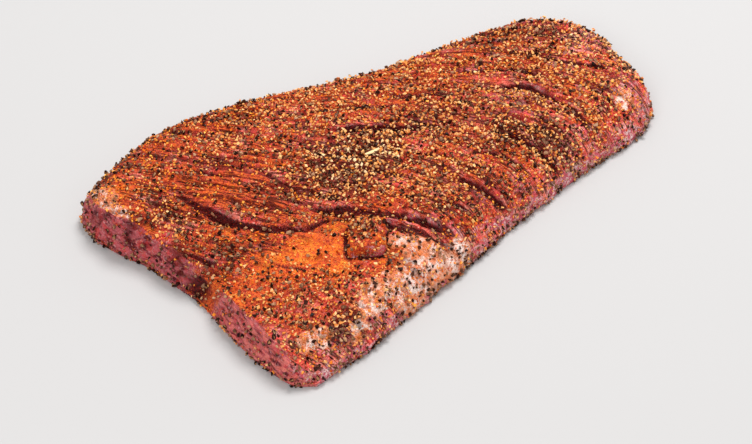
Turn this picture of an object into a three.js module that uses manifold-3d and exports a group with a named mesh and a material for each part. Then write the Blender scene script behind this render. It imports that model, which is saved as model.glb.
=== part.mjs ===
// A raw skirt steak with a coarse spice rub, lying flat on its underside.
// One slab of meat: it is cut across at the low X end, tapers and turns round at the high X end,
// and thins out along the low Y side. Its long muscle fibres run slantwise across the top in rolls,
// with furrows between them, and a small knob of meat stands up near the low Y side.
// Millimetres, +Z up. X runs along the steak, from the cut end to the round end. The origin is on the
// surface that the steak lies on, under the middle of its outline.
import * as THREE from "three";
import { mergeVertices } from "three/addons/utils/BufferGeometryUtils.js";
import Module from "manifold-3d";

// The four sides of the outline at its widest, each from corner to corner, as points [x, y].
const CUT_END = [
  [-138, -104.5], [-148, -95.5], [-152, -82], [-153.5, -65], [-154, -41], [-153, -16],
  [-156, 4], [-160, 26], [-168, 48], [-171.5, 66], [-168, 82],
];
const ROUND_END = [[155, -53], [163, -36], [165.5, -15], [170, 6], [165.5, 29], [150, 49]];
const THIN_SIDE = [
  [-138, -104.5], [-120, -102.3], [-98, -100], [-62, -92.5], [-14, -84],
  [25, -75.5], [65, -69.5], [111, -64], [139, -60.5], [155, -53],
];
const THICK_SIDE = [
  [-168, 82], [-146, 93], [-106, 105], [-70, 103], [-25, 90.5],
  [16, 76.5], [60, 68], [116, 59.5], [150, 49],
];
const OUTLINE_STEPS = 40;

// Each side's edge: roll is how far in the top reaches its full height, waist the height of the widest
// line, tuck how far in the underside starts, square the bluntness of the shoulder, and reach how far in
// the wall is modelled as wall.
const EDGES = {
  cut: { points: CUT_END, roll: 6, waist: 3, tuck: 2, square: 1.25, reach: 6 },
  round: { points: ROUND_END, roll: 20, waist: 6, tuck: 4, square: 2, reach: 6 },
  thin: { points: THIN_SIDE, roll: 24, waist: 4, tuck: 2.5, square: 1.7, reach: 8 },
  thick: { points: THICK_SIDE, roll: 18, waist: 6, tuck: 4, square: 2, reach: 6 },
};
const SHOULDER_BLEND = 5;

// Height of the top away from the edges, with broad swells and hollows: [x, y, radius x, radius y, lift].
const THICKNESS = 24;
const SWELLS = [
  [-60, 40, 75, 45, 3],
  [-152, 54, 20, 24, 4.5],
  [-171, 50, 11, 16, -5],
  [-160, 23, 10, 8, -6],
  [-158, -16, 18, 15, -12],
  [-120, -60, 45, 40, -1.5],
  [-135, -96, 32, 20, -5],
  [110, 10, 60, 45, 1.5],
  [60, -55, 60, 18, -2.5],
];

// Furrows between the muscle bundles: half width, depth, how much higher the meat is on the high X side,
// and the path [x, y] that each one runs.
const FURROWS = [
  {
    width: 3.4, depth: 5.5, lip: 2.4,
    path: [
      [-131, 62], [-125, 37], [-121, 23], [-116, 10],
      [-107, -3], [-98, -13], [-86, -20], [-71, -27],
    ],
  },
  {
    width: 3, depth: 5, lip: 2,
    path: [[-84, 4], [-69, -16], [-56, -26], [-44, -38], [-33, -52], [-24, -66], [-15, -82]],
  },
  {
    width: 2.6, depth: 3.6, lip: 1,
    path: [[-51, -38], [-47, -45], [-41, -55], [-36, -63], [-30, -73], [-19, -86]],
  },
  { width: 3, depth: 5, lip: 1.5, path: [[8, -35], [13, -47], [17, -59], [20, -70], [25, -80]] },
  { width: 2.8, depth: 4.5, lip: 1, path: [[50, -20], [60, -36], [65, -60], [67, -78]] },
  { width: 2.8, depth: 4.5, lip: 1, path: [[67, 12], [89, -2], [98, -18], [102, -40], [98, -64]] },
  { width: 2.8, depth: 4.5, lip: 1.5, path: [[-29, 36], [-9, 26], [13, 9], [33, -5]] },
  { width: 2.6, depth: 4, lip: 0.8, path: [[112, 18], [131, -6], [148, -26]] },
  { width: 2.6, depth: 3.5, lip: 0.5, path: [[-84, -42], [-79, -60], [-68, -76]] },
];
const FURROW_STEPS = 15;
const FURROW_FADE = 0.3;
const FURROW_SIDES = 6;
const LIP_REACH = 22;

// The rolls of muscle fibre, as a wave across the fibres.
const ROLL_SPACING = 17;
const ROLL_HEIGHT = 0.8;

// The small knob of meat: its middle [x, y], its radii, and how far its middle is under the top.
const KNOB = { at: [-64, -52], radii: [11.5, 12, 10], under: 0, detail: 2 };

// Columns of the mesh along and across the steak, and rows up the wall under and over the widest line.
const COLUMNS = { along: 58, across: 30 };
const WALL_ROWS = { under: 1, over: 4 };
const UNDERSIDE_DEPTH = 3;

// How far the columns lean to run with the fibres, as a share of the length, and over what share of the
// length from each end the lean grows.
const LEAN = { straight: 0.16, bend: 0.06, grows: 0.4 };

// The coarse pieces of cracked peppercorn that show from a step away.
const GRAINS = { count: 138, least: 1.1, most: 1.9, sunk: 0.35, apart: 8, seed: 11 };
const PEPPER_HEAPS = [[-28, 4, 34], [74, -48, 18], [-113, -92, 16], [-90, 84, 30], [140, 30, 30]];

const MEAT_COLOUR = 0xb5502e;

const wasm = await Module();
wasm.setup();

const spline = (points) =>
  new THREE.CatmullRomCurve3(points.map(([x, y]) => new THREE.Vector3(x, y, 0)), false, "catmullrom");

const smooth = (t) => {
  const k = Math.min(1, Math.max(0, t));
  return k * k * (3 - 2 * k);
};

for (const edge of Object.values(EDGES)) {
  edge.curve = spline(edge.points);
  edge.line = edge.curve.getPoints(OUTLINE_STEPS);
}
for (const furrow of FURROWS) furrow.line = spline(furrow.path).getPoints(FURROW_STEPS);

// The nearest place to (x, y) on a line: how far it is, how far along the line from 0 to 1, and the side.
function nearestOn(line, x, y) {
  let best = { far: Infinity, along: 0, side: 1 };
  for (let i = 1; i < line.length; i++) {
    const [a, b] = [line[i - 1], line[i]];
    const [dx, dy] = [b.x - a.x, b.y - a.y];
    const t = Math.min(1, Math.max(0, ((x - a.x) * dx + (y - a.y) * dy) / (dx * dx + dy * dy)));
    const far = Math.hypot(x - a.x - t * dx, y - a.y - t * dy);
    if (far < best.far) {
      const side = Math.sign(dx * (y - a.y) - dy * (x - a.x)) || 1;
      best = { far, along: (i - 1 + t) / (line.length - 1), side };
    }
  }
  return best;
}

// Constant along each muscle fibre: fibres slant across the steak and turn steeper towards the thin side.
function acrossFibres(x, y) {
  const bend = Math.min(1.2, Math.max(0, (x + 120) / 150));
  return x + 0.75 * y + 0.0048 * bend * y * y;
}

const fadeAlong = (along) => smooth(along / FURROW_FADE) * smooth((1 - along) / FURROW_FADE);

// How much the furrows' higher sides stand up at (x, y).
function lips(x, y) {
  let z = 0;
  for (const { line, width, lip } of FURROWS) {
    const { far, along, side } = nearestOn(line, x, y);
    const step = smooth(0.5 + (side * far) / (2 * width));
    z += lip * fadeAlong(along) * step * Math.exp(-((far / LIP_REACH) ** 2));
  }
  return z;
}

// The top's height where no edge reaches.
function crown(x, y) {
  let z = THICKNESS;
  for (const [sx, sy, rx, ry, lift] of SWELLS) {
    z += lift * Math.exp(-(((x - sx) / rx) ** 2) - ((y - sy) / ry) ** 2);
  }
  const wave = acrossFibres(x, y) / ROLL_SPACING + 0.6 * Math.sin(y / 31);
  return z + ROLL_HEIGHT * Math.sin(2 * Math.PI * wave);
}

// How near (x, y) is to the edges: t is 0 at the widest line and 1 past every roll.
function shoulder(x, y) {
  let crowd = 0;
  let waist = 0;
  let square = 0;
  let weights = 0;
  for (const edge of Object.values(EDGES)) {
    const { far } = nearestOn(edge.line, x, y);
    crowd += Math.max(0, 1 - far / edge.roll) ** SHOULDER_BLEND;
    const weight = 1 / (far + 1) ** 3;
    waist += weight * edge.waist;
    square += weight * edge.square;
    weights += weight;
  }
  return {
    t: Math.max(0, 1 - crowd ** (1 / SHOULDER_BLEND)),
    waist: waist / weights,
    square: square / weights,
  };
}

function topHeight(x, y) {
  const { t, waist, square } = shoulder(x, y);
  const rise = (1 - (1 - t) ** square) ** (1 / square);
  return waist + (crown(x, y) - waist) * rise + lips(x, y) * smooth(t * 1.4);
}

// A place inside the outline, from a (0 at the cut end, 1 at the round end) and b (0 at the thin side,
// 1 at the thick side), with the four sides drawn in by some millimetres.
function inOutline(a, b, inset) {
  const { cut, round, thin, thick } = EDGES;
  const length = 320;
  const breadth = thin.curve.getPoint(a).distanceTo(thick.curve.getPoint(a));
  const w = 2 * b - 1;
  const grown = Math.min(1, a / LEAN.grows, (1 - a) / LEAN.grows);
  const leaned = a - grown * (LEAN.straight * w + LEAN.bend * w * w);
  const u = inset(cut) / length + leaned * (1 - (inset(cut) + inset(round)) / length);
  const v = inset(thin) / breadth + b * (1 - (inset(thin) + inset(thick)) / breadth);
  const corners = new THREE.Vector3()
    .addScaledVector(thin.curve.getPoint(0), (1 - u) * (1 - v))
    .addScaledVector(thin.curve.getPoint(1), u * (1 - v))
    .addScaledVector(thick.curve.getPoint(0), (1 - u) * v)
    .addScaledVector(thick.curve.getPoint(1), u * v);
  return new THREE.Vector3()
    .addScaledVector(thin.curve.getPoint(u), 1 - v)
    .addScaledVector(thick.curve.getPoint(u), v)
    .addScaledVector(cut.curve.getPoint(v), 1 - u)
    .addScaledVector(round.curve.getPoint(v), u)
    .sub(corners);
}

function solidOf(geometry) {
  geometry.deleteAttribute("normal");
  geometry.deleteAttribute("uv");
  const merged = mergeVertices(geometry, 1e-4);
  return new wasm.Manifold(
    new wasm.Mesh({
      numProp: 3,
      vertProperties: merged.attributes.position.array,
      triVerts: new Uint32Array(merged.index.array),
    }),
  );
}

// The slab: a finely divided box, each of whose points is moved to its place on the steak. The box's Y
// runs along the steak, so that the diagonals of its faces run the way the furrows do.
function slab() {
  const rows = WALL_ROWS.under + WALL_ROWS.over;
  const geometry = new THREE.BoxGeometry(1, 1, 1, COLUMNS.across, COLUMNS.along, rows);
  const position = geometry.attributes.position;
  for (let i = 0; i < position.count; i++) {
    const [a, b, c] = [0.5 + position.getY(i), 0.5 - position.getX(i), 0.5 + position.getZ(i)];
    const row = Math.round(c * rows);
    if (row < WALL_ROWS.under) {
      const place = inOutline(a, b, (edge) => edge.tuck);
      position.setXYZ(i, place.x, place.y, -UNDERSIDE_DEPTH);
      continue;
    }
    const turn = ((row - WALL_ROWS.under) / WALL_ROWS.over) * (Math.PI / 2);
    const place = inOutline(a, b, (edge) => edge.reach * (1 - Math.cos(turn)));
    position.setXYZ(i, place.x, place.y, topHeight(place.x, place.y));
  }
  return solidOf(geometry);
}

// The hollow of one furrow: a long spindle that follows the furrow's path along the top.
function hollow({ line, width, depth }) {
  const geometry = new THREE.CylinderGeometry(1, 1, 1, FURROW_SIDES, line.length - 1);
  const position = geometry.attributes.position;
  for (let i = 0; i < position.count; i++) {
    const row = Math.round((position.getY(i) + 0.5) * (line.length - 1));
    const middle = line[row];
    const along = new THREE.Vector3()
      .subVectors(line[Math.min(row + 1, line.length - 1)], line[Math.max(row - 1, 0)])
      .normalize();
    const size = 0.05 + 0.95 * fadeAlong(row / (line.length - 1));
    const across = position.getX(i) * width * size;
    const [x, y] = [middle.x + along.y * across, middle.y - along.x * across];
    const z = topHeight(middle.x, middle.y) + position.getZ(i) * depth * size;
    position.setXYZ(i, x, y, z);
  }
  return solidOf(geometry);
}

// The knob: a ball drawn out to its three radii, a little boxy and lumpy.
function knob() {
  const geometry = new THREE.IcosahedronGeometry(1, KNOB.detail);
  const position = geometry.attributes.position;
  const [x, y] = KNOB.at;
  const middle = topHeight(x, y) - KNOB.under;
  for (let i = 0; i < position.count; i++) {
    const [px, py, pz] = [position.getX(i), position.getY(i), position.getZ(i)];
    const boxy = (Math.abs(px) ** 3 + Math.abs(py) ** 3 + Math.abs(pz) ** 3) ** (-1 / 3);
    const lump = boxy * (0.93 + 0.05 * Math.sin(3 * px + 2 * py) + 0.05 * Math.cos(5 * py - 2 * pz));
    const [rx, ry, rz] = KNOB.radii;
    position.setXYZ(i, x + px * rx * lump, y + py * ry * lump, middle + pz * rz * lump);
  }
  return solidOf(geometry);
}

// Numbers from 0 to 1 that are the same on every run.
function seeded(seed) {
  let state = seed;
  return () => {
    state = (state * 1664525 + 1013904223) % 4294967296;
    return state / 4294967296;
  };
}

// How thickly the coarse pepper lies at (x, y), from 0 to 1.
function pepperCover(x, y) {
  const heaped = PEPPER_HEAPS.map(([hx, hy, r]) => Math.exp(-(((x - hx) ** 2 + (y - hy) ** 2) / (r * r))));
  return Math.min(1, 0.3 + Math.max(...heaped));
}

// The pieces of cracked peppercorn, each an uneven eight-sided chip pressed into the top.
function pepper() {
  const random = seeded(GRAINS.seed);
  const chips = [];
  const places = [];
  while (chips.length < GRAINS.count) {
    const place = inOutline(random(), random(), (edge) => edge.reach / 2);
    const near = places.some((p) => p.distanceTo(place) < GRAINS.apart);
    if (near || random() > pepperCover(place.x, place.y)) continue;
    places.push(place);
    const size = () => GRAINS.least + random() * (GRAINS.most - GRAINS.least);
    const [wide, deep, tall] = [size(), size(), size()];
    const chip = new THREE.OctahedronGeometry(1, 0).scale(wide, deep, tall);
    chip.rotateX(random() * Math.PI).rotateY(random() * Math.PI).rotateZ(random() * Math.PI);
    const z = topHeight(place.x, place.y) + tall * (1 - 2 * GRAINS.sunk);
    chips.push(solidOf(chip.translate(place.x, place.y, z)));
  }
  return chips;
}

function steak() {
  const floor = new THREE.BoxGeometry(400, 300, 20).translate(0, 0, -10);
  const meat = slab().subtract(wasm.Manifold.union(FURROWS.map(hollow))).add(knob());
  const joined = wasm.Manifold.union([meat, ...pepper()]).subtract(solidOf(floor));
  // A chip that only just misses the meat is a loose scrap, and is left out.
  const [whole] = joined.decompose().sort((one, other) => other.volume() - one.volume());
  const { vertProperties, triVerts } = whole.getMesh();
  const geometry = new THREE.BufferGeometry();
  geometry.setAttribute("position", new THREE.BufferAttribute(vertProperties, 3));
  geometry.setIndex(new THREE.BufferAttribute(triVerts, 1));
  geometry.computeVertexNormals();
  const rubbed = new THREE.MeshStandardMaterial({ color: MEAT_COLOUR, roughness: 0.6, metalness: 0 });
  const mesh = new THREE.Mesh(geometry, rubbed);
  mesh.name = "steak";
  return mesh;
}

const group = new THREE.Group();
group.add(steak());

export default group;
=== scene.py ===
import math

import bmesh
import bpy
import numpy as np
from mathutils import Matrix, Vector


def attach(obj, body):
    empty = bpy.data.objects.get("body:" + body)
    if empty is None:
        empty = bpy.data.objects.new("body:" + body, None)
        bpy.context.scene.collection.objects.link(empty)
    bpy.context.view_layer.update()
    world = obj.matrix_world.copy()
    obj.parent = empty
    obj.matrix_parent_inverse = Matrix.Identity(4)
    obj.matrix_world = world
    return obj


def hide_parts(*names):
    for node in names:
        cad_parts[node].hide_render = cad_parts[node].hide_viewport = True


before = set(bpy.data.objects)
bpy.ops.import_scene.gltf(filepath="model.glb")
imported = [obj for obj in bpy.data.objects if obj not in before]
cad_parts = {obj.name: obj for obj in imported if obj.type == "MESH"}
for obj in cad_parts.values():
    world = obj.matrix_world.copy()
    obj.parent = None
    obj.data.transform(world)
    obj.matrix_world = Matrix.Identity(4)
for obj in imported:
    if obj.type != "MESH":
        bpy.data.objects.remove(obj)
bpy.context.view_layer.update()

MM = 0.001

# ---------------------------------------------------------------- sizes of the steak, in millimetres

# The four sides of the outline at its widest, as points [x, y].
CUT_END = [
    [-138, -104.5], [-148, -95.5], [-152, -82], [-153.5, -65], [-154, -41], [-153, -16],
    [-156, 4], [-160, 26], [-168, 48], [-171.5, 66], [-168, 82],
]
ROUND_END = [[155, -53], [163, -36], [165.5, -15], [170, 6], [165.5, 29], [150, 49]]
THIN_SIDE = [
    [-138, -104.5], [-120, -102.3], [-98, -100], [-62, -92.5], [-14, -84], [25, -75.5], [65, -69.5],
    [111, -64], [139, -60.5], [155, -53],
]
THICK_SIDE = [
    [-168, 82], [-146, 93], [-106, 105], [-70, 103], [-25, 90.5], [16, 76.5], [60, 68], [116, 59.5], [150, 49],
]
OUTLINE_STEPS = 40

# roll: how far in the top is full height; waist: height of the widest line; tuck: how far in the
# underside starts; square: bluntness of the shoulder; reach: how far in the wall rows go.
EDGES = {
    "cut": {"points": CUT_END, "roll": 6, "waist": 3, "tuck": 2, "square": 1.25, "reach": 6},
    "round": {"points": ROUND_END, "roll": 20, "waist": 6, "tuck": 4, "square": 2, "reach": 6},
    "thin": {"points": THIN_SIDE, "roll": 24, "waist": 4, "tuck": 2.5, "square": 1.7, "reach": 8},
    "thick": {"points": THICK_SIDE, "roll": 18, "waist": 6, "tuck": 4, "square": 2, "reach": 6},
}
SHOULDER_BLEND = 5
LENGTH = 320

THICKNESS = 24
SWELLS = [
    [-60, 40, 75, 45, 3],
    [-152, 54, 20, 24, 4.5],
    [-171, 50, 11, 16, -5],
    [-160, 23, 10, 8, -6],
    [-158, -16, 18, 15, -12],
    [-120, -60, 45, 40, -1.5],
    [-135, -96, 32, 20, -5],
    [110, 10, 60, 45, 1.5],
    [60, -55, 60, 18, -2.5],
]

# Furrows between the muscle bundles: half width, depth, how much higher the far side is, and the path.
FURROWS = [
    (2.6, 4.2, 2.4, [[-131, 62], [-125, 37], [-121, 23], [-116, 10], [-107, -3], [-98, -13], [-86, -20], [-71, -27]]),
    (2.4, 4, 2, [[-84, 4], [-69, -16], [-56, -26], [-44, -38], [-33, -52], [-24, -66], [-15, -82]]),
    (1.8, 3, 1, [[-51, -38], [-47, -45], [-41, -55], [-36, -63], [-30, -73], [-19, -86]]),
    (2.2, 3.8, 1.5, [[8, -35], [13, -47], [17, -59], [20, -70], [25, -80]]),
    (2.1, 3.6, 1, [[50, -20], [60, -36], [65, -60], [67, -78]]),
    (2.1, 3.6, 1, [[67, 12], [89, -2], [98, -18], [102, -40], [98, -64]]),
    (2.2, 3.6, 1.5, [[-29, 36], [-9, 26], [13, 9], [33, -5]]),
    (1.8, 3.5, 0.8, [[112, 18], [131, -6], [148, -26]]),
    (1.6, 1.1, 0.5, [[-84, -42], [-79, -60], [-68, -76]]),
]
# Smaller creases, too fine for the solid.
CREASES = [
    (1.1, 2.0, 0.2, [[-97, 63], [-90, 53], [-85, 38], [-82, 27]]),
    (1.2, 2.2, 0.3, [[-123, 66], [-116, 60], [-107, 53], [-99, 45], [-94, 34]]),
    (1.1, 2.2, 0.3, [[-97, 37], [-89, 25], [-84, 12], [-79, 2]]),
    (1.1, 2.0, 0.2, [[-107, 30], [-102, 22], [-97, 14]]),
    (1.2, 2.2, 0.2, [[-82, 42], [-76, 27], [-72, 10], [-70, -6]]),
    (1.1, 2.0, 0, [[-84, 25], [-78, 9], [-76, -6]]),
    (1.4, 2.4, 0.5, [[-149, 7], [-143, -3], [-136, -14]]),
    (1.2, 2.0, 0, [[-118, -27], [-109, -41], [-101, -49]]),
    (1.2, 2.0, 0.3, [[-103, -52], [-96, -59], [-87, -62]]),
    (1.5, 2.6, 0.5, [[15, 18], [24, 6], [31, -4]]),
    (1.5, 2.6, 0.6, [[-1, -6], [9, -15], [18, -27], [24, -38], [28, -48]]),
    (1.4, 2.4, 0.5, [[-8, -45], [-5, -56], [-1, -70]]),
    (1.5, 2.6, 0.5, [[25, -25], [38, -37], [46, -50], [49, -60]]),
    (1.5, 2.6, 0.5, [[78, -20], [84, -42], [85, -60]]),
    (1.5, 2.4, 0.5, [[60, 37], [73, 28], [90, 16], [102, 2], [113, -14]]),
    (1.4, 2.2, 0.3, [[19, 43], [32, 31], [48, 21], [61, 8]]),
    (1.4, 2.0, 0, [[-40, 62], [-14, 50], [12, 34], [40, 18]]),
    (1.3, 2.2, 0, [[120, 40], [140, 22], [154, 2]]),
    (1.5, 2.4, 0, [[120, -20], [126, -38], [126, -54]]),
    (1.4, 2.0, 0, [[-108, -60], [-100, -76], [-88, -92]]),
    (1.3, 1.8, 0, [[-40, 10], [-24, -8], [-12, -26]]),
    (1.6, 2.4, 0.6, [[-92, -16], [-80, -22], [-70, -25], [-60, -28], [-52, -33]]),
]
FURROW_STEPS = 24
FURROW_FADE = 0.3
LIP_REACH = 22

ROLL_SPACING = 17
ROLL_HEIGHT = 0.8
LEAN = {"straight": 0.16, "bend": 0.06, "grows": 0.4}

KNOB = {"at": (-64, -52), "radii": (11.5, 12, 10), "under": 0}

KNOB_TURN, KNOB_SQUARE = -38, 4.5

# The pale flakes in the middle heap: width and path.
FLAKES = [
    (1.9, [[-22, 4.2], [-17.2, 3.0], [-13, 2.6]]),
    (1.5, [[-9.3, -5.5], [-7.8, -7.6], [-8.3, -10]]),
]
FLAKE_STEPS = 16
FLAKE_LIFT = 0.7

# Faces along, across and up the wall under and over the widest line.
ALONG, ACROSS, UNDER, OVER = 330, 190, 3, 20


# ---------------------------------------------------------------- shape maths, on arrays of points

def smooth(t):
    k = np.clip(t, 0, 1)
    return k * k * (3 - 2 * k)


def curve(points, t):
    """Points at t, from 0 to 1, on a smooth line through the given points."""
    p = np.asarray(points, float)
    p = np.vstack([2 * p[0] - p[1], p, 2 * p[-1] - p[-2]])
    at = np.clip(np.asarray(t, float), 0, 1) * (len(p) - 3)
    i = np.minimum(at.astype(int), len(p) - 4)
    w = (at - i)[..., None]
    p0, p1, p2, p3 = p[i], p[i + 1], p[i + 2], p[i + 3]
    t0, t1 = (p2 - p0) / 2, (p3 - p1) / 2
    return p1 + t0 * w + (3 * (p2 - p1) - 2 * t0 - t1) * w ** 2 + (2 * (p1 - p2) + t0 + t1) * w ** 3


def nearest_on(line, x, y):
    """How far (x, y) is from a line, how far along it the nearest place is, and on which side."""
    far = np.full(x.shape, np.inf)
    along = np.zeros(x.shape)
    side = np.ones(x.shape)
    for i, (a, b) in enumerate(zip(line[:-1], line[1:])):
        dx, dy = b - a
        t = np.clip(((x - a[0]) * dx + (y - a[1]) * dy) / (dx * dx + dy * dy), 0, 1)
        d = np.hypot(x - a[0] - t * dx, y - a[1] - t * dy)
        near = d < far
        far[near] = d[near]
        along[near] = (i + t[near]) / (len(line) - 1)
        side[near] = np.where(dx * (y - a[1]) - dy * (x - a[0]) < 0, -1.0, 1.0)[near]
    return far, along, side


def noise(points, size, seed):
    """Smooth noise from 0 to 1 at points, whose lumps are about the given size."""
    lattice = np.random.default_rng(seed).random((32, 32, 32))
    q = np.asarray(points, float) / size + 1000
    i = np.floor(q).astype(int)
    f = smooth(q - i)
    total = 0
    for corner in range(8):
        step = np.array([corner >> 2 & 1, corner >> 1 & 1, corner & 1])
        weight = np.prod(np.where(step, f, 1 - f), axis=-1)
        a, b, c = ((i + step) % 32).T
        total = total + weight * lattice[a, b, c]
    return total


def across_fibres(x, y):
    bend = np.clip((x + 120) / 150, 0, 1.2)
    return x + 0.75 * y + 0.0048 * bend * y * y


def fibre_places(x, y, z):
    """Coordinates that run across and along the muscle fibres."""
    s = across_fibres(x, y)
    return np.stack([s, (y - 0.6 * x) * 0.8, z], -1)


for edge in EDGES.values():
    edge["line"] = curve(edge["points"], np.linspace(0, 1, OUTLINE_STEPS + 1))
GROOVES = [
    (width, depth, lip, curve(path, np.linspace(0, 1, FURROW_STEPS + 1)))
    for width, depth, lip, path in FURROWS + CREASES
]


def furrowed(x, y):
    """Height change from the furrows, and how deep in one (x, y) is, from 0 to 1."""
    z = np.zeros(x.shape)
    deep = np.zeros(x.shape)
    wobble = 1.1 * (noise(np.stack([x, y, 0 * x], -1), 7, 5) - 0.5)
    for width, depth, lip, line in GROOVES:
        far, along, side = nearest_on(line, x, y)
        fade = smooth(along / FURROW_FADE) * smooth((1 - along) / FURROW_FADE)
        off = side * far + wobble
        # The low side slopes gently into the furrow and the far side rises steeply out of it.
        reach = np.where(off < 0, 1.3 * width, 0.7 * width)
        pit = np.exp(-np.abs(off / reach) ** 1.7)
        step = smooth(0.5 + off / (1.3 * width))
        z += fade * (lip * step * np.exp(-((far / LIP_REACH) ** 2)) - depth * pit)
        core = 1 - smooth((np.abs(off + 0.1 * width) / width - 0.5) / 0.5)
        deep = np.maximum(deep, fade ** 0.5 * min(1, depth / 3) * core)
    z_knob, foot = knob_foot(x, y)
    return z - z_knob, np.maximum(deep, foot)


def turned(x, y):
    """Places round the knob, counted along and across its flat sides."""
    c, s = math.cos(math.radians(KNOB_TURN)), math.sin(math.radians(KNOB_TURN))
    return x * c + y * s, y * c - x * s


def flanks(x, y):
    """How much of the steep far side of a furrow there is at (x, y), from 0 to 1."""
    most = np.zeros(x.shape)
    for width, _, _, line in GROOVES[:len(FURROWS)]:
        far, along, side = nearest_on(line, x, y)
        fade = smooth(along / FURROW_FADE) * smooth((1 - along) / FURROW_FADE)
        most = np.maximum(most, fade * np.exp(-(((side * far - 1.3 * width) / width) ** 2)))
    return most


def knob_foot(x, y):
    """How far the meat is pressed down round the knob, and how deep in that crease (x, y) is, which is painted dark as
    painted shade at the knob's foot.
    """
    dx, dy = (x - KNOB["at"][0]) / KNOB["radii"][0], (y - KNOB["at"][1]) / KNOB["radii"][1]
    along, across = turned(dx, dy)
    out = (np.abs(along) ** KNOB_SQUARE + np.abs(across) ** KNOB_SQUARE) ** (1 / KNOB_SQUARE)
    ring = np.exp(-(((out - 1.0) / 0.15) ** 2)) * smooth(0.5 - dx)
    return 1.5 * ring, smooth((ring - 0.25) / 0.45)


def crown(x, y):
    z = np.full(x.shape, float(THICKNESS))
    for sx, sy, rx, ry, lift in SWELLS:
        z += lift * np.exp(-(((x - sx) / rx) ** 2) - ((y - sy) / ry) ** 2)
    wave = across_fibres(x, y) / ROLL_SPACING + 0.6 * np.sin(y / 31)
    return z + ROLL_HEIGHT * np.sin(2 * np.pi * wave)


def shoulder(x, y):
    crowd = 0
    waist = square = weights = 0
    for edge in EDGES.values():
        far = nearest_on(edge["line"], x, y)[0]
        crowd = crowd + np.maximum(0, 1 - far / edge["roll"]) ** SHOULDER_BLEND
        weight = 1 / (far + 1) ** 3
        waist = waist + weight * edge["waist"]
        square = square + weight * edge["square"]
        weights = weights + weight
    return np.maximum(0, 1 - crowd ** (1 / SHOULDER_BLEND)), waist / weights, square / weights


def buried(x, y):
    """Where the powder lies so thick that no fibres show, from 0 to 1."""
    return np.clip(1.4 * np.exp(-(((x + 106) / 42) ** 4) - ((y + 56) / 27) ** 4), 0, 1)


def fibre_ridges(x, y):
    """The fine ridges of muscle fibre, which come and go over the top, and the thin creases between them."""
    place = fibre_places(x, y, 0 * x)
    flat = np.stack([x, y, 0 * x], -1)
    strength = 0.5 + 0.8 * np.exp(-(((x + 88) / 46) ** 2) - ((y - 30) / 38) ** 2)
    strength = (strength + 0.5 * noise(flat, 26, 23)) * (1 - 0.85 * buried(x, y))
    height = 1.6 * strength * (noise(place * [1, 0.11, 1], 5, 21) - 0.5)
    creased = np.zeros(x.shape)
    for size, stretch, width, seed in ((8, 0.09, 0.11, 24), (7, 0.10, 0.12, 25), (4.5, 0.13, 0.13, 26)):
        line = np.exp(-((2 * noise(place * [1, stretch, 1], size, seed) - 1) / width) ** 2)
        there = smooth((noise(flat, 22, seed + 10) + 0.35 * strength - 0.55) / 0.25) * (1 - buried(x, y))
        creased = np.maximum(creased, line * there)
    return height - 1.5 * creased, creased


def top_height(x, y):
    t, waist, square = shoulder(x, y)
    rise = (1 - (1 - t) ** square) ** (1 / square)
    relief, deep = furrowed(x, y)
    ridges, creased = fibre_ridges(x, y)
    eased = smooth(t * 1.4)
    # The fibre creases count as deep as well, so they take the furrows' painted shade.
    deep = np.maximum(deep, 0.6 * creased) * smooth(t * 3)
    return waist + (crown(x, y) - waist) * rise + (relief + ridges) * eased, deep


def in_outline(a, b, inset):
    """Places inside the outline, with the sides drawn in by inset(edge) millimetres."""
    cut, round_, thin, thick = (EDGES[k] for k in ("cut", "round", "thin", "thick"))
    breadth = np.linalg.norm(curve(THIN_SIDE, a) - curve(THICK_SIDE, a), axis=-1)
    w = 2 * b - 1
    grown = np.minimum(1, np.minimum(a, 1 - a) / LEAN["grows"])
    leaned = a - grown * (LEAN["straight"] * w + LEAN["bend"] * w * w)
    u = inset(cut) / LENGTH + leaned * (1 - (inset(cut) + inset(round_)) / LENGTH)
    v = inset(thin) / breadth + b * (1 - (inset(thin) + inset(thick)) / breadth)
    u, v = u[:, None], v[:, None]
    low, high = curve(THIN_SIDE, u[:, 0]), curve(THICK_SIDE, u[:, 0])
    near, far = curve(CUT_END, v[:, 0]), curve(ROUND_END, v[:, 0])
    ends = [np.asarray(p, float) for p in (THIN_SIDE[0], THIN_SIDE[-1], THICK_SIDE[0], THICK_SIDE[-1])]
    corners = ends[0] * (1 - u) * (1 - v) + ends[1] * u * (1 - v) + ends[2] * (1 - u) * v + ends[3] * u * v
    return low * (1 - v) + high * v + near * (1 - u) + far * u - corners


# ---------------------------------------------------------------- meshes

def points_of(mesh):
    out = np.empty(len(mesh.vertices) * 3)
    mesh.vertices.foreach_get("co", out)
    return out.reshape(-1, 3)


def normals_of(mesh):
    out = np.empty(len(mesh.vertices) * 3)
    mesh.vertex_normals.foreach_get("vector", out)
    return out.reshape(-1, 3)


def move_points(mesh, places):
    mesh.vertices.foreach_set("co", np.asarray(places, float).ravel())
    mesh.update()


def paint(mesh, name, values, domain="POINT"):
    mesh.attributes.new(name, "FLOAT", domain).data.foreach_set("value", np.asarray(values, np.float32))


def piece_from(bm, name):
    """A bmesh as a new object in the scene."""
    mesh = bpy.data.meshes.new(name)
    bm.to_mesh(mesh)
    bm.free()
    piece = bpy.data.objects.new(name, mesh)
    bpy.context.scene.collection.objects.link(piece)
    return piece


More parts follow.
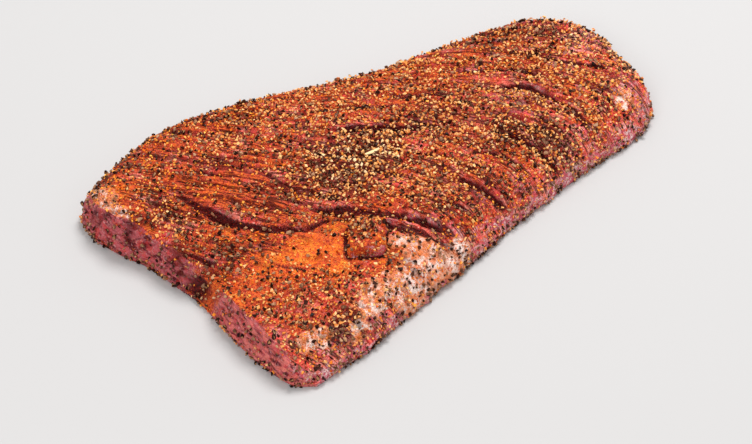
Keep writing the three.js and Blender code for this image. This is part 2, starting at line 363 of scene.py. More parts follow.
def slab():
    """A box whose top is a fine grid, with rows round its walls and one face underneath."""
    bm = bmesh.new()
    made = bmesh.ops.create_grid(bm, x_segments=ALONG, y_segments=ACROSS, size=0.5)
    made = bmesh.ops.extrude_face_region(bm, geom=bm.faces[:])
    lifted = [v for v in made["geom"] if isinstance(v, bmesh.types.BMVert)]
    bmesh.ops.translate(bm, verts=lifted, vec=(0, 0, 1))
    upright = [e for e in bm.edges if abs(e.verts[0].co.z - e.verts[1].co.z) > 0.5]
    bmesh.ops.subdivide_edges(bm, edges=upright, cuts=UNDER + OVER - 1, use_grid_fill=True)
    flat = [f for f in bm.faces if all(v.co.z < 0.001 for v in f.verts)]
    bmesh.ops.dissolve_faces(bm, faces=flat, use_verts=True)
    bmesh.ops.recalc_face_normals(bm, faces=bm.faces[:])
    return piece_from(bm, "steak_meat")


def shape_slab(piece):
    box = points_of(piece.data)
    a, b = box[:, 0] + 0.5, box[:, 1] + 0.5
    row = np.rint(box[:, 2] * (UNDER + OVER))
    places = np.zeros((len(box), 3))
    deep = np.zeros(len(box))
    under = row < UNDER
    dip = (1 - row[under] / UNDER) * np.pi / 2
    waist = np.zeros(under.sum())
    spot = in_outline(a[under], b[under], lambda e: e["tuck"] * (1 - np.cos(dip)))
    waist = shoulder(spot[:, 0], spot[:, 1])[1]
    places[under] = np.column_stack([spot, waist * (1 - np.sin(dip))])
    over = ~under
    turn = (row[over] - UNDER) / OVER * np.pi / 2
    spot = in_outline(a[over], b[over], lambda e: e["reach"] * (1 - np.cos(turn)))
    height, deep[over] = top_height(spot[:, 0], spot[:, 1])
    places[over] = np.column_stack([spot, height])
    move_points(piece.data, places)
    roughen(piece.data, deep)
    move_points(piece.data, points_of(piece.data) * MM)
    return deep


def roughen(mesh, deep):
    """Lumps and fibre ends on the walls, and the crumb of the rub on top, along each point's normal."""
    p, n = points_of(mesh), normals_of(mesh)
    steep = smooth((0.8 - n[:, 2]) / 0.5)
    lumps = (noise(p, 13, 31) - 0.5) * 2.4 + (noise(p, 6, 32) - 0.5) * 2.4
    ends = (noise(p, 2.8, 33) - 0.5) * 1.6
    crumb = (noise(p, 2.2, 34) - 0.5) * 0.9 + (noise(p, 4.5, 35) - 0.5) * (0.9 + 1.2 * buried(p[:, 0], p[:, 1]))
    push = steep * (lumps + ends) + (1 - steep) * crumb * (1 - deep)
    # The cut face is hollowed under its lip where the steak is at its narrowest.
    middle = np.exp(-(((p[:, 1] + 8) / 20) ** 2)) * smooth((-n[:, 0] - 0.2) / 0.4) * (p[:, 0] < -120)
    push = push - 3.2 * middle * np.sin(np.clip(p[:, 2] / 19, 0, 1) * np.pi)
    push = push * smooth(p[:, 2] / 2)
    p = p + n * push[:, None]
    p[:, 2] = np.maximum(p[:, 2], 0)
    move_points(mesh, p)


def knob():
    """The lump of meat that stands up near the thin side."""
    bm = bmesh.new()
    bmesh.ops.create_icosphere(bm, subdivisions=6, radius=1)
    piece = piece_from(bm, "meat_knob")
    p = points_of(piece.data)
    square = np.column_stack([*turned(p[:, 0], p[:, 1]), p[:, 2]])
    boxy = np.sum(np.abs(square) ** KNOB_SQUARE, axis=1) ** (-1 / KNOB_SQUARE)
    lump = 0.93 + 0.05 * np.sin(3 * p[:, 0] + 2 * p[:, 1]) + 0.05 * np.cos(5 * p[:, 1] - 2 * p[:, 2])
    lump = lump + 0.16 * (noise(p, 0.5, 41) - 0.5) + 0.05 * (noise(p, 0.16, 42) - 0.5)
    at = np.array([KNOB["at"]], float)
    height = top_height(at[:, 0], at[:, 1])[0][0] - KNOB["under"]
    p = p * (boxy * lump)[:, None] * KNOB["radii"] + [*KNOB["at"], height]
    move_points(piece.data, p * MM)
    return piece


# ---------------------------------------------------------------- where the rub lies

def spots(x, y, places):
    """The strongest of several soft round patches [x, y, radius x, radius y, amount]."""
    best = np.zeros(x.shape)
    for px, py, rx, ry, amount in places:
        best = np.maximum(best, amount * np.exp(-(((x - px) / rx) ** 2) - ((y - py) / ry) ** 2))
    return best


POWDER = [
    [-96, -36, 20, 12, 0.9], [-82, -44, 12, 10, 0.9], [-116, -30, 16, 9, 0.7], [-70, -32, 24, 5, 0.7],
    [-88, -58, 14, 6, 0.7], [-128, -34, 14, 10, 0.3], [-152, 64, 9, 9, 0.6], [-154, 34, 6, 7, 0.9],
    [-149, -20, 6, 10, 0.7], [-146, -44, 4, 14, 0.6], [-136, -56, 8, 12, 0.4], [-60, -66, 7, 9, 0.8],
    [-50, -38, 12, 5, 0.5], [-112, 34, 16, 20, 0.3], [-92, 30, 30, 26, 0.2], [-60, 84, 60, 14, 0.25],
    [95, 36, 44, 10, 0.5], [126, 18, 20, 12, 0.4], [30, 56, 40, 10, 0.25], [-118, 2, 10, 6, 0.7],
    [-107, -10, 12, 6, 0.8], [84, 38, 18, 7, 0.5], [104, 20, 14, 8, 0.6], [116, 0, 8, 14, 0.6],
    [114, -26, 7, 14, 0.6], [107, -50, 7, 12, 0.5],
]
FAT = [
    [-22, -81, 9, 6, 1.4], [-34, -80, 13, 10, 1.2], [-44, -68, 9, 8, 1.4], [-50, -61, 6, 6, 1.4], [-52, -82, 16, 11, 1.2],
    [-66, -85, 16, 11, 1.2], [-84, -84, 16, 11, 1.0], [-102, -94, 13, 8, 0.75], [-128, -88, 13, 8, 1.0],
    [-114, -96, 8, 6, 0.5], [-163, 72, 10, 15, 1.5], [-161, 50, 5, 9, 1.2], [134, -48, 15, 10, 0.62],
    [152, -32, 9, 14, 0.38], [150, 44, 14, 8, 0.35],
]
BARE = [
    [30, -80, 26, 12, 1.0], [60, -72, 24, 10, 0.9], [124, -62, 34, 11, 0.9], [12, -60, 8, 12, 0.8],
    [-6, -84, 12, 10, 1.1], [-104, -99, 10, 7, 1.0], [-124, -68, 18, 9, 0.5], [-132, -101, 12, 6, 1.1], [-41, -46, 7, 5, 1.1],
    [-33, -53, 6, 7, 1.1], [-26, -64, 6, 8, 1.1], [-18, -74, 6, 8, 1.1], [-148, 22, 5, 8, 0.8],
    [-153, 38, 5, 8, 0.5], [166, -20, 12, 30, 1.0], [148, 6, 12, 20, 0.9], [132, 4, 14, 5, 0.9],
    [122, 20, 16, 5, 0.8], [150, -28, 9, 12, 1.0], [-108, -84, 8, 8, 0.5], [40, -62, 9, 10, 0.8],
    [84, -52, 12, 9, 0.5], [30, 48, 26, 5, 0.5], [24, 14, 12, 7, 0.5], [80, 30, 22, 6, 0.5],
    [-88, -94, 14, 8, 1.1], [20, -30, 8, 10, 0.6], [-142, -84, 6, 22, 1.0], [-118, -95, 26, 9, 1.1], [-70, -92, 30, 6, 0.8],
    [142, -44, 20, 12, 1.1], [158, 10, 12, 30, 1.0], [150, 36, 16, 12, 0.8],
]
PEPPER = [
    [-32, 4, 32, 22, 1.3], [-44, -10, 20, 14, 1.0], [-62, 6, 26, 20, 0.6], [-10, 12, 20, 14, 0.8], [74, -48, 14, 17, 1.2],
    [-107, -91, 13, 8, 1.9], [-60, 92, 60, 12, 0.5], [-92, 72, 30, 10, 0.4], [-140, 92, 22, 12, 0.6], [140, 30, 30, 24, 0.6],
    [-138, 42, 9, 24, 0.7], [56, -30, 20, 16, 0.85], [36, 8, 40, 14, 0.7], [-22, -54, 26, 12, 0.6],
    [160, -10, 12, 30, 0.6], [-34, -66, 12, 8, 0.5], [-66, -48, 8, 8, 0.8], [120, 44, 34, 14, 0.7],
    [-132, -12, 22, 9, 0.7], [-104, -16, 16, 7, 0.5], [-128, -62, 10, 14, 0.4], [10, -58, 20, 12, 0.7],
    [-150, 8, 6, 10, 0.9], [-122, -62, 22, 16, 0.5], [-104, -78, 20, 8, 0.5],
]
TAN = [
    [-30, 4, 30, 21, 2.0], [-44, -10, 20, 14, 1.5], [-6, 12, 22, 14, 1.4], [74, -48, 14, 17, 1.7], [30, -6, 30, 14, 0.8],
    [-107, -89, 12, 9, 1.1], [0, -40, 22, 14, 0.7], [60, -30, 30, 16, 0.95], [-64, -48, 8, 8, 0.5],
    [110, -4, 56, 40, 0.7], [130, 30, 40, 22, 0.7], [-20, 66, 56, 18, 0.45], [50, 46, 50, 18, 0.45],
    [50, 4, 60, 40, 0.75], [-76, 64, 26, 12, 0.5],
    [-140, 34, 8, 18, 0.4], [-12, 40, 30, 14, 0.4], [-120, -66, 26, 18, 0.4], [-90, -76, 20, 8, 0.4],
]
ORANGE = [
    [-60, 80, 84, 20, 0.9], [96, 26, 60, 26, 1.0], [-138, 44, 10, 22, 0.7], [24, 30, 50, 26, 0.7],
    [40, -30, 60, 26, 0.6], [-110, -66, 30, 18, 0.4], [120, -10, 46, 36, 0.8], [60, 40, 60, 24, 0.7],
]
PALE = [[-28, 6, 34, 24, 1.0], [76, -48, 16, 17, 0.8], [150, 10, 20, 50, 0.6], [-60, 95, 90, 10, 0.4]]
SMOOTH_ZONE = [
    [-95, 30, 28, 26, 1.0], [-84, 4, 18, 13, 0.8], [-116, 2, 14, 18, 0.5], [-94, -36, 24, 11, 1.0], [-84, -50, 12, 8, 0.9],
    [-38, -48, 14, 6, 0.6], [-60, -34, 20, 4, 0.8], [104, 20, 14, 6, 0.6], [116, 0, 6, 14, 0.6],
    [114, -26, 6, 14, 0.6], [12, 34, 24, 5, 0.5], [60, 22, 26, 5, 0.5], [84, -12, 8, 16, 0.5],
]


def facing(x, n, low, high):
    return smooth((n - low) / (high - low))


def rub(p, n, deep):
    """How much powder, fat, bare meat and wet, shaded furrow there is at points on the meat, and how much painted shade
    lies among heaped grains, each from 0 to 1.
    """
    x, y = p[:, 0], p[:, 1]
    patchy = noise(p, 9, 51)
    patchier = noise(p, 3, 52)
    flank = flanks(x, y)
    from_cut = nearest_on(EDGES["cut"]["line"], x, y)[0]
    cut_face = facing(x, -n[:, 0], 0.25, 0.5) * smooth((8 - from_cut) / 2.5)
    cut_face = cut_face * (1 - 0.8 * np.exp(-(((y + 16) / 13) ** 4)))
    # The hollow under the cut face's lip counts as deep, so it is painted dark: painted shade under the lip.
    hollow = facing(x, -n[:, 0], 0.2, 0.5) * np.exp(-(((y + 10) / 12) ** 2)) * smooth((17 - p[:, 2]) / 6) * (x < -120)
    deep = np.maximum(deep, 0.8 * hollow)
    low_wall = facing(x, -n[:, 1], 0.45, 0.75) * (y < -40)
    end_wall = facing(x, n[:, 0], 0.5, 0.8) * (x > 120)
    back_wall = facing(x, n[:, 1], 0.6, 0.85)
    streaky = noise(fibre_places(x, y, p[:, 2]) * [1, 0.14, 1], 4, 56)
    powder = 0.36 + 0.7 * (patchy - 0.5) + 0.5 * (streaky - 0.5) + 0.3 * (patchier - 0.5) + spots(x, y, POWDER)
    powder = powder - 0.2 * smooth((x - 40) / 60) * noise(p, 14, 55)
    fat = spots(x, y, FAT) * (0.55 + 0.9 * patchier) + 0.35 * (patchy - 0.5)
    fat = smooth((fat - 0.3) / 0.5) * (1 - 0.85 * cut_face)
    bare = np.maximum.reduce([
        cut_face, 0.9 * low_wall * smooth((patchy - 0.2) / 0.4), 0.7 * end_wall, 0.5 * back_wall,
        spots(x, y, BARE) * (0.4 + 1.1 * patchy), 0.62 * flank * smooth((patchier - 0.2) / 0.4),
        (0.35 + 0.6 * smooth((x - 20) / 80)) * smooth((0.5 * patchy + 0.5 * streaky - 0.55) / 0.12),
    ])
    # Where grains heap, the meat under and between them is painted darker: painted shade among the grains.
    crowded = np.maximum(spots(x, y, PEPPER), 0.7 * spots(x, y, TAN))
    powder = powder * (1 - 0.9 * bare) * (1 - 0.5 * fat) * (1 - 0.85 * deep)
    wall = 1 - smooth((n[:, 2] - 0.3) / 0.4)
    return {
        "wall": wall, "calm": spots(x, y, SMOOTH_ZONE), "fresh": cut_face * smooth((-20 - y) / 30), "flank": flank,
        "buried": buried(x, y), "powder": np.clip(powder, 0, 1), "fat": np.clip(fat, 0, 1), "bare": np.clip(bare, 0, 1),
        "cut_face": np.clip(cut_face, 0, 1), "deep": np.clip(deep, 0, 1), "crowded": np.clip(crowded, 0, 1),
    }


def dress(piece, deep):
    """Writes the rub and the fibre directions onto a piece of meat."""
    p, n = points_of(piece.data) / MM, normals_of(piece.data)
    for name, values in rub(p, n, deep).items():
        paint(piece.data, name, values)
    place = fibre_places(p[:, 0], p[:, 1], p[:, 2])
    paint(piece.data, "across", place[:, 0])
    paint(piece.data, "along", place[:, 1])


# ---------------------------------------------------------------- the loose spices

def corners_of(mesh):
    mesh.calc_loop_triangles()
    out = np.empty(len(mesh.loop_triangles) * 3, int)
    mesh.loop_triangles.foreach_get("vertices", out)
    return out.reshape(-1, 3)


class Ground:
    """The surfaces that spices fall on: every triangle of the meat that shows from above or the side."""

    def __init__(self, pieces):
        corners, normals, deep = [], [], []
        for piece in pieces:
            triangles = corners_of(piece.data)
            points = points_of(piece.data) / MM
            corners.append(points[triangles])
            values = np.empty(len(points), np.float32)
            piece.data.attributes["deep"].data.foreach_get("value", values)
            deep.append(values[triangles].mean(1))
        self.corners = np.concatenate(corners)
        self.deep = np.concatenate(deep)
        crossed = np.cross(self.corners[:, 1] - self.corners[:, 0], self.corners[:, 2] - self.corners[:, 0])
        doubled = np.linalg.norm(crossed, axis=1)
        self.area = doubled / 2
        self.normal = crossed / np.maximum(doubled, 1e-9)[:, None]
        self.middle = self.corners.mean(1)
        self.patchy = noise(self.middle, 7, 61)
        self.patchier = noise(self.middle, 2.4, 62)
        middle = self.middle
        self.streaky = noise(fibre_places(middle[:, 0], middle[:, 1], middle[:, 2]) * [1, 0.16, 1], 5, 63)
        self.masks = rub(self.middle, self.normal, self.deep)
        bx, by = KNOB["at"]
        inside = ((self.middle[:, 0] - bx) / 11) ** 4 + ((self.middle[:, 1] - by) / 12) ** 4 < 0.9
        of_body = np.arange(len(self.area)) < len(corners[0])
        self.open = (self.normal[:, 2] > -0.75) & (self.middle[:, 2] > 0.6) & ~(inside & of_body)

    def cover(self, base, heaps, walls, clumping, face):
        """Grains to a square millimetre on each triangle."""
        x, y = self.middle[:, 0], self.middle[:, 1]
        m = self.masks
        d = base + spots(x, y, heaps)
        d = d * (1 - 0.92 * spots(x, y, SMOOTH_ZONE))
        wall = 1 - smooth((self.normal[:, 2] - 0.35) / 0.4)
        d = d * (1 - wall) + wall * walls * (0.35 + 0.65 * (self.middle[:, 2] < 7))
        d = d * (1 - (1 - face) * m["cut_face"] * (self.middle[:, 2] > 5))
        d = d * (1 - clumping + 2 * clumping * self.patchy) * (0.35 + 1.3 * smooth((self.patchier - 0.25) / 0.5))
        banded = 0.55 + 0.35 * smooth((x - 10) / 60)
        d = d * (1 - banded + 2 * banded * smooth((self.streaky - 0.3) / 0.4))
        return np.where(self.open, d, 0) * (1 - 0.65 * m["deep"]) * (1 - 0.6 * m["flank"])


def grain_shapes(sides, count, seed):
    """Uneven shards: jittered copies of one small solid of 20, 12 or 8 sides, and its faces."""
    random = np.random.default_rng(seed)
    bm = bmesh.new()
    if sides == 20:
        bmesh.ops.create_icosphere(bm, subdivisions=1, radius=1)
    elif sides == 12:
        bmesh.ops.create_cube(bm, size=1.25)
    else:
        bmesh.ops.create_uvsphere(bm, u_segments=4, v_segments=2, radius=1)
    bmesh.ops.triangulate(bm, faces=bm.faces[:])
    bm.verts.index_update()
    points = np.array([v.co[:] for v in bm.verts])
    faces = np.array([[v.index for v in f.verts] for f in bm.faces])
    bm.free()
    shapes = []
    for _ in range(count):
        shape = points * (1 + 0.7 * (random.random((len(points), 1)) - 0.5))
        for way in random.normal(size=(3, 3)):
            way /= np.linalg.norm(way)
            shape = shape - np.maximum(0, shape @ way - 0.35)[:, None] * way
        shapes.append(shape)
    return shapes, faces


def laid(random, normal, tilt):
    """Turns that lay each grain on its normal, spun any way round and a little tilted."""
    up = normal + tilt * random.normal(size=normal.shape)
    up /= np.linalg.norm(up, axis=1)[:, None]
    side = random.normal(size=normal.shape)
    side -= up * np.sum(side * up, axis=1)[:, None]
    side /= np.linalg.norm(side, axis=1)[:, None]
    return np.stack([side, np.cross(up, side), up], -1)


class Crowd:
    """Where grains already lie, so that the next ones don't share their room."""

    def __init__(self):
        self.cells = {}

    def room(self, place, radius):
        cell = tuple(int(c // 2) for c in place)
        for dx in (-1, 0, 1):
            for dy in (-1, 0, 1):
                for dz in (-1, 0, 1):
                    for other, size in self.cells.get((cell[0] + dx, cell[1] + dy, cell[2] + dz), ()):
                        gap = (size + radius) * 0.78
                        if sum((a - b) ** 2 for a, b in zip(place, other)) < gap * gap:
                            return False
        self.cells.setdefault(cell, []).append((place, radius))
        return True


def scatter(name, ground, crowd, density, sizes, sides, squash, sunk, tone, seed, piled=0):
    """One piece of many grains. sizes are the least and most radius, tone(x, y, draw) a grain's shade."""
    random = np.random.default_rng(seed)
    share = density * ground.area
    count = int(share.sum())
    chosen = random.choice(len(share), size=count, p=share / share.sum())
    r = random.random((count, 2))
    flip = r.sum(1) > 1
    r[flip] = 1 - r[flip]
    c = ground.corners[chosen]
    place = c[:, 0] + (c[:, 1] - c[:, 0]) * r[:, :1] + (c[:, 2] - c[:, 0]) * r[:, 1:]
    radius = sizes[0] + (sizes[1] - sizes[0]) * random.random(count) ** 1.6
    normal = ground.normal[chosen]
    lifted = place + normal * (radius * squash * (1 - 2 * sunk))[:, None]
    order = np.argsort(-radius)
    keep = []
    for i in order:
        spot = lifted[i]
        if crowd.room(tuple(spot), radius[i]):
            keep.append(i)
        elif normal[i, 2] > 0.7 and random.random() < piled:
            lifted[i] = spot + normal[i] * radius[i] * 1.1
            if crowd.room(tuple(lifted[i]), radius[i]):
                keep.append(i)
    keep = np.array(keep)
    lifted, radius = lifted[keep], radius[keep]
    shapes, faces = grain_shapes(sides, 12, seed + 1)
    shape = np.stack(shapes)[random.integers(0, len(shapes), len(keep))]
    long = 0.8 + 0.6 * random.random(len(keep)) ** 2
    shape = shape * np.stack([long, 1 / long ** 0.6, np.full(len(keep), squash)], -1)[:, None]
    shape = np.einsum("gvi,gji->gvj", shape, laid(random, normal[keep], 0.45))
    points = lifted[:, None] + shape * radius[:, None, None]
    low = points[:, :, 2].min(1)
    points[:, :, 2] += np.maximum(0, 0.01 - low)[:, None]
    corners = shape.shape[1]
    index = (faces[None] + (np.arange(len(keep)) * corners)[:, None, None]).reshape(-1, 3)
    mesh = bpy.data.meshes.new(name)
    mesh.from_pydata((points.reshape(-1, 3) * MM).tolist(), [], index.tolist())
    piece = bpy.data.objects.new(name, mesh)
    bpy.context.scene.collection.objects.link(piece)
    shade = np.clip(tone(lifted[:, 0], lifted[:, 1], random.random(len(keep))), 0, 1)
    paint(mesh, "tone", np.repeat(shade, corners))
    paint(mesh, "broken", (random.random(len(index)) < 0.22), "FACE")
    print(name, len(keep), "grains", len(index), "triangles")
    return piece


def flakes(ground):
    """A few thin curled flakes of garlic that lie on the heaped spices."""
    bm = bmesh.new()
    for width, path in FLAKES:
        made = bmesh.ops.create_grid(bm, x_segments=FLAKE_STEPS, y_segments=3, size=0.5)
        verts = made["verts"]
        box = np.array([v.co[:] for v in verts])
        t = box[:, 0] + 0.5
        spot = curve(path, t)
        ahead = curve(path, np.minimum(t + 0.02, 1)) - curve(path, np.maximum(t - 0.02, 0))
        ahead /= np.linalg.norm(ahead, axis=1)[:, None]
        across = box[:, 1] * width * (0.35 + 0.65 * np.sin(np.pi * np.clip(t, 0.08, 0.92)))
        spot = spot + np.column_stack([-ahead[:, 1], ahead[:, 0]]) * across[:, None]
        base = top_height(spot[:, 0], spot[:, 1])[0].max() + FLAKE_LIFT
        curl = 0.9 * t ** 2 + 1.2 * box[:, 1] ** 2
        for v, (x, y), z in zip(verts, spot, base + curl):
            v.co = (x * MM, y * MM, z * MM)
    bmesh.ops.solidify(bm, geom=bm.faces[:], thickness=0.5 * MM)
    return piece_from(bm, "garlic_flakes")


# ---------------------------------------------------------------- materials

def colour(r, g, b):
    """A colour as a screen shows it, from 0 to 255, as the renderer counts light."""
    line = [c / 255 for c in (r, g, b)]
    return (*[c / 12.92 if c <= 0.04045 else ((c + 0.055) / 1.055) ** 2.4 for c in line], 1)


class Socket:
    """One output of a material's nodes. Sums on it add Math nodes."""

    def __init__(self, finish, output):
        self.finish, self.output = finish, output

    def sum(self, operation, one, other):
        return self.finish.node("Math", {"operation": operation}, {0: one, 1: other})

    def __add__(self, other):
        return self.sum("ADD", self, other)

    def __radd__(self, other):
        return self.sum("ADD", other, self)

    def __sub__(self, other):
        return self.sum("SUBTRACT", self, other)

    def __rsub__(self, other):
        return self.sum("SUBTRACT", other, self)

    def __mul__(self, other):
        return self.sum("MULTIPLY", self, other)

    def __rmul__(self, other):
        return self.sum("MULTIPLY", other, self)

    def held(self):
        """The value, held between 0 and 1."""
        return self.finish.node("Clamp", None, {"Value": self})


class Finish:
    """A material with one glossy shader, and the nodes that feed it."""

    def __init__(self, name):
        self.material = bpy.data.materials.new(name)
        self.material.use_nodes = True
        self.tree = self.material.node_tree
        self.shader = self.tree.nodes["Principled BSDF"]

    def node(self, kind, settings=None, values=None, out=0):
        node = self.tree.nodes.new("ShaderNode" + kind)
        for key, value in (settings or {}).items():
            if key == "stops":
                ramp = node.color_ramp
                while len(ramp.elements) < len(value):
                    ramp.elements.new(0.5)
                for element, (position, shade) in zip(ramp.elements, value):
                    element.position, element.color = position, shade
            else:
                setattr(node, key, value)
        for key, value in (values or {}).items():
            if isinstance(value, Socket):
                self.tree.links.new(value.output, node.inputs[key])
            else:
                node.inputs[key].default_value = value
        return Socket(self, node.outputs[out])

    def attribute(self, name):
        return self.node("Attribute", {"attribute_name": name}, out="Fac")

    def mix(self, factor, one, other):
        return self.node("Mix", {"data_type": "RGBA"}, {0: factor, 6: one, 7: other}, out=2)

    def step(self, value, low, high):
        """0 below low, 1 above high and smooth between them."""
        return self.node(
            "MapRange", {"interpolation_type": "SMOOTHSTEP"},
            {"Value": value, "From Min": low, "From Max": high})

    def grain(self, size_mm, detail=2, vector=None):
        """Noise whose lumps are about the given size."""
        place = vector or self.node("TexCoord", out="Object")
        return self.node("TexNoise", None, {"Vector": place, "Scale": 1 / (size_mm * MM), "Detail": detail})

    def feed(self, socket, value):
        if isinstance(value, Socket):
            self.tree.links.new(value.output, self.shader.inputs[socket])
        else:
            self.shader.inputs[socket].default_value = value

    def bump(self, height, distance_mm, strength=1.0):
        bumped = self.node("Bump", None, {"Height": height, "Distance": distance_mm * MM, "Strength": strength})
        self.feed("Normal", bumped)


def crumbs(f, size_mm):
    """Cells like packed crumbs: a random draw for each, and how high it stands in its middle."""
    cells = {"Vector": f.node("TexCoord", out="Object"), "Scale": 1 / (size_mm * MM)}
    settings = {"feature": "F1"}
    draw = f.node("SeparateColor", None, {"Color": f.node("TexVoronoi", settings, cells, out="Color")}, out="Red")
    height = 1 - f.node("TexVoronoi", settings, cells, out="Distance") * 1.3
    return draw, height.held()


def meat_finish():
    f = Finish("rubbed_meat")
    powder, fat, bare = f.attribute("powder"), f.attribute("fat"), f.attribute("bare")
    cut_face, deep, crowded = f.attribute("cut_face"), f.attribute("deep"), f.attribute("crowded")
    wall, buried, calm, flank = (f.attribute(name) for name in ("wall", "buried", "calm", "flank"))
    fibres = f.node("CombineXYZ", None, {0: f.attribute("across") * MM, 1: f.attribute("along") * (MM * 0.12)})
    dust, crumb, mottle = f.grain(0.8, 3), f.grain(2.2, 3), f.grain(7, 3)
    fine_draw, fine_height = crumbs(f, 0.75)
    coarse_draw, coarse_height = crumbs(f, 1.5)

    plain = (wall + buried).held()
    streak = f.grain(1.8, 3, fibres) * (1 - plain) + f.grain(1.6, 3) * plain
    meat = f.mix(f.step(streak, 0.35, 0.6), colour(162, 18, 22), colour(252, 92, 78))
    meat = f.mix(f.step(mottle, 0.42, 0.64) * 0.75, meat, colour(254, 150, 128))
    meat = f.mix(f.step(f.grain(1.5, 3), 0.58, 0.70) * 0.6, meat, colour(255, 214, 190))
    drawn = f.node("Mapping", None, {"Vector": f.node("TexCoord", out="Object"), "Scale": (1, 0.3, 1)})
    face = f.mix(f.step(f.grain(2.6, 4, drawn), 0.38, 0.58), colour(84, 14, 26), colour(196, 92, 98))
    face = f.mix(f.step(f.grain(1.5, 3), 0.54, 0.70) * 0.6, face, colour(240, 178, 174))
    face = f.mix(f.step(f.grain(5.0, 3), 0.50, 0.66) * 0.6, face, colour(220, 64, 64))
    face = f.mix(f.attribute("fresh") * f.step(f.grain(2.0, 4, drawn), 0.42, 0.6) * 0.7, face, colour(246, 130, 120))
    # Walls and bare patches take the paler pink of bare meat; on the walls it is laid on more strongly, as painted
    # light where the key light doesn't reach them.
    pink = f.mix(f.step(crumb, 0.42, 0.62), colour(216, 92, 108), colour(255, 214, 212))
    meat = f.mix((wall * 0.85 + f.step(bare, 0.5, 0.95) * 0.55).held(), meat, pink)
    meat = f.mix(cut_face, meat, face)

    # The rub is painted lighter in each crumb's middle and darker where crumbs meet, as painted shade between them, and
    # darker still under heaped grains as painted shade; the rest of its spread is random.
    tone = fine_draw * 0.5 + powder * 0.55 + (crumb - 0.5) * 0.7 + (streak - 0.5) * 0.7 + (fine_height - 0.5) * 0.25
    rubbed = f.node("ValToRGB", {"stops": [
        (0.0, colour(98, 12, 8)), (0.3, colour(176, 56, 34)), (0.52, colour(222, 92, 50)),
        (0.75, colour(234, 103, 30)), (1.0, colour(246, 148, 54))]}, {0: tone - crowded * 0.2}, out="Color")
    surface = f.mix(f.step(powder + (dust - 0.5) * 0.9 + (crumb - 0.5) * 0.7, 0.05, 0.36), meat, rubbed)
    stuck = f.step(coarse_draw + (crumb - 0.5) * 0.5 + powder * 0.2, 0.62, 0.7) * f.step(coarse_height, 0.4, 0.6)
    stuck = stuck * (1 - cut_face * 0.7) * (1 - deep) * (1 - calm * 0.7) * (1 - flank * 0.8)
    spice = f.node("ValToRGB", {"stops": [
        (0.0, colour(54, 12, 4)), (0.3, colour(170, 78, 32)), (0.6, colour(232, 142, 68)),
        (1.0, colour(252, 196, 126))]}, {0: fine_draw}, out="Color")
    surface = f.mix(stuck * 0.8, surface, spice)
    # Painted shade among the heaped grains: the rub goes dark maroon where they lie thickest.
    surface = f.mix(f.step(crowded + (crumb - 0.5) * 0.6, 0.3, 0.9) * 0.7, surface, colour(92, 22, 6))
    # Thin lines along the fibres, painted near black: painted shade in the creases.
    crease = f.grain(3.2, 2, f.node("CombineXYZ", None, {
        0: f.attribute("across") * MM, 1: f.attribute("along") * (MM * 0.07)}))
    crease = 1 - f.step(f.node("Math", {"operation": "ABSOLUTE"}, {0: crease * 2 - 1}), 0.03, 0.12)
    crease = crease * (f.step(mottle + streak * 0.4, 0.55, 0.75) + calm * 0.6).held()
    crease = crease * (1 - cut_face) * (1 - wall) * (1 - buried)
    surface = f.mix(crease * 0.85, surface, colour(60, 2, 0))

    tallow = f.mix(f.step(mottle - fat * 0.15, 0.26, 0.50), colour(254, 230, 218), colour(242, 172, 138))
    stained = crumb * 0.5 + f.grain(4.5, 3) * 0.6 + dust * 0.3 + powder * 0.4 - fat * 0.1
    tallow = f.mix(f.step(stained, 0.58, 0.72) * 0.85, tallow, colour(236, 124, 62))
    surface = f.mix(f.step(fat + (crumb - 0.5) * 0.6 + (mottle - 0.5) * 0.8, 0.25, 0.5) * 0.92, surface, tallow)
    # Furrow bottoms, fibre creases, the hollow under the cut face's lip and the knob's foot go dark red-black by how
    # deep they lie: partly the wet bare meat there, partly painted shade.
    wet_and_shade = f.step(deep + (crumb - 0.5) * 0.4, 0.22, 0.8)
    surface = f.mix(wet_and_shade * 0.96, surface, f.mix(f.step(dust, 0.4, 0.65), colour(26, 0, 0), colour(108, 6, 6)))
    f.feed("Base Color", surface)

    f.feed("Roughness", (0.32 + powder * 0.4 + (dust - 0.5) * 0.25).held())
    f.feed("Specular IOR Level", 0.12)
    f.bump(dust * 0.3 + streak * 0.5 + crumb + fine_height * 0.5 + coarse_height * stuck * 0.8 - crease * 0.8,
           0.8, 1.0)
    return f.material


def grain_finish(name, stops, broken, roughness, bump_mm):
    f = Finish(name)
    speck = f.grain(0.5, 2)
    tone = f.attribute("tone") + (speck - 0.5) * 0.35
    tone = f.node("ValToRGB", {"stops": stops}, {0: tone}, out="Color")
    f.feed("Base Color", f.mix(f.attribute("broken") * 0.6, tone, broken))
    f.feed("Roughness", roughness)
    f.feed("Specular IOR Level", 0.12)
    f.bump(speck, bump_mm, 0.6)
    return f.material


# ---------------------------------------------------------------- the steak

steak = slab()
steak_deep = shape_slab(steak)
dress(steak, steak_deep)
lump = knob()
dress(lump, np.zeros(len(lump.data.vertices)))
meat = meat_finish()
for piece in (steak, lump):
    piece.data.materials.append(meat)
    for face in piece.data.polygons:
        face.use_smooth = True

ground = Ground([steak, lump])
crowd = Crowd()
def heaps(places, share):
    return [[*place[:4], place[4] * share] for place in places]


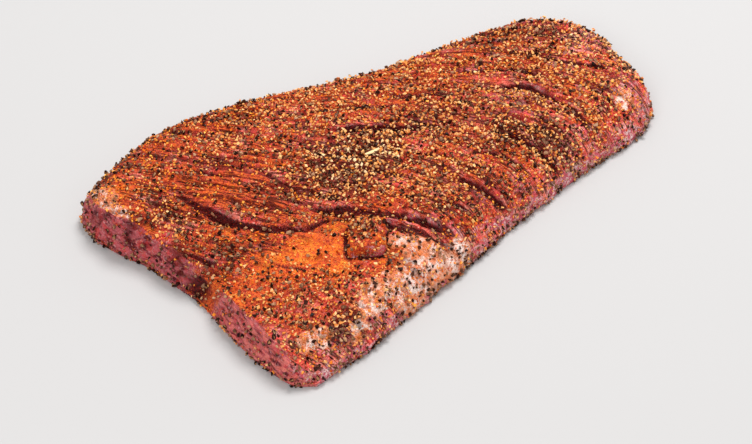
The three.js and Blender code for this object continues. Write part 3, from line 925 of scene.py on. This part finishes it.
spices = [
    (scatter("cracked_pepper", ground, crowd, ground.cover(0.06, heaps(PEPPER, 0.22), 0.2, 0.6, 0.5),
             (1.0, 1.8), 20, 0.7, 0.2, lambda x, y, r: r ** 1.2, 71, 0.5),
     "cracked_pepper", 0),
    (scatter("garlic_granules", ground, crowd, ground.cover(0.04, heaps(TAN, 1.3), 0.06, 0.55, 0.1),
             (0.8, 1.4), 12, 0.7, 0.2, lambda x, y, r: 0.75 * r + 0.35 * spots(x, y, PALE), 72, 0.8),
     "spice_granules", 1),
    (scatter("chilli_granules", ground, crowd, ground.cover(0.2, heaps(ORANGE, 0.6), 0.08, 0.6, 0.1),
             (0.6, 1.15), 12, 0.7, 0.2, lambda x, y, r: r, 73),
     "spice_granules", 2),
    (scatter("paprika_crumbs", ground, crowd, ground.cover(0.35, [[-100, -40, 30, 20, 0.3]], 0.08, 0.4, 0.2),
             (0.35, 0.65), 8, 0.8, 0.3, lambda x, y, r: r, 74),
     "spice_granules", 3),
]
strips = flakes(ground)
paint(strips.data, "tone", np.full(len(strips.data.vertices), 0.95))
paint(strips.data, "broken", np.zeros(len(strips.data.polygons)), "FACE")
spices.append((strips, "spice_granules", 1))
finishes = [
    grain_finish("pepper_finish", [
        (0.0, colour(26, 2, 0)), (0.4, colour(52, 18, 8)), (0.75, colour(108, 68, 48)), (1.0, colour(196, 150, 114)),
    ], colour(200, 146, 100), 0.4, 0.2),
    grain_finish("garlic_finish", [
        (0.0, colour(186, 92, 38)), (0.35, colour(236, 146, 68)), (0.75, colour(252, 188, 112)), (1.0, colour(255, 224, 174)),
    ], colour(255, 216, 160), 0.4, 0.1),
    grain_finish("chilli_finish", [
        (0.0, colour(168, 46, 12)), (0.3, colour(230, 98, 22)), (0.65, colour(252, 146, 38)), (1.0, colour(255, 192, 84)),
    ], colour(255, 180, 82), 0.4, 0.1),
    grain_finish("paprika_finish", [
        (0.0, colour(92, 9, 3)), (0.5, colour(190, 58, 24)), (1.0, colour(242, 116, 42)),
    ], colour(230, 100, 38), 0.5, 0.1),
]
for piece, slot, which in spices:
    piece.data.materials.append(finishes[which])
    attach(piece, "root")
    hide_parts("steak")
for piece in (steak, lump):
    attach(piece, "root")
    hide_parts("steak")


# ---------------------------------------------------------------- floor, light and camera

def area_light(name, place, target, size, watts, tint=(1, 1, 1)):
    lamp = bpy.data.lights.new(name, "AREA")
    lamp.shape = "DISK"
    lamp.size, lamp.energy, lamp.color = size, watts, tint
    piece = bpy.data.objects.new(name, lamp)
    piece.location = place
    piece.rotation_euler = (Vector(target) - Vector(place)).to_track_quat("-Z", "Y").to_euler()
    bpy.context.scene.collection.objects.link(piece)


bm = bmesh.new()
bmesh.ops.create_grid(bm, x_segments=1, y_segments=1, size=6)
floor = piece_from(bm, "floor")
pale = Finish("pale_floor")
pale.feed("Base Color", (0.54, 0.53, 0.526, 1))
pale.feed("Roughness", 0.85)
pale.feed("Specular IOR Level", 0.2)
floor.data.materials.append(pale.material)

AIM = Vector((-0.035, -0.0225, 0))
DISTANCE, AZIMUTH, ELEVATION, LENS = 1.18, math.radians(-38), math.radians(43.5), 98
back = Vector((
    math.sin(AZIMUTH) * math.cos(ELEVATION), -math.cos(AZIMUTH) * math.cos(ELEVATION), math.sin(ELEVATION)))
lens = bpy.data.cameras.new("camera")
lens.sensor_width, lens.lens = 36, LENS
camera = bpy.data.objects.new("camera", lens)
camera.location = AIM + back * DISTANCE
camera.rotation_euler = back.to_track_quat("Z", "Y").to_euler()
bpy.context.scene.collection.objects.link(camera)
bpy.context.scene.camera = camera
bpy.context.scene.view_settings.view_transform = "Standard"

world = bpy.data.worlds.new("studio")
world.use_nodes = True
world.node_tree.nodes["Background"].inputs["Color"].default_value = (1, 1, 1, 1)
world.node_tree.nodes["Background"].inputs["Strength"].default_value = 0.60
bpy.context.scene.world = world
right = Vector((math.cos(AZIMUTH), math.sin(AZIMUTH), 0))
away = Vector((-math.sin(AZIMUTH), math.cos(AZIMUTH), 0))
up = Vector((0, 0, 1))
area_light("key", right * 0.4 + away * 0.8 + up * 1.9, (0, 0, 0), 0.9, 38)
area_light("fill", right * -0.6 + away * -1.2 + up * 1.2, (0, 0, 0), 1.0, 10)
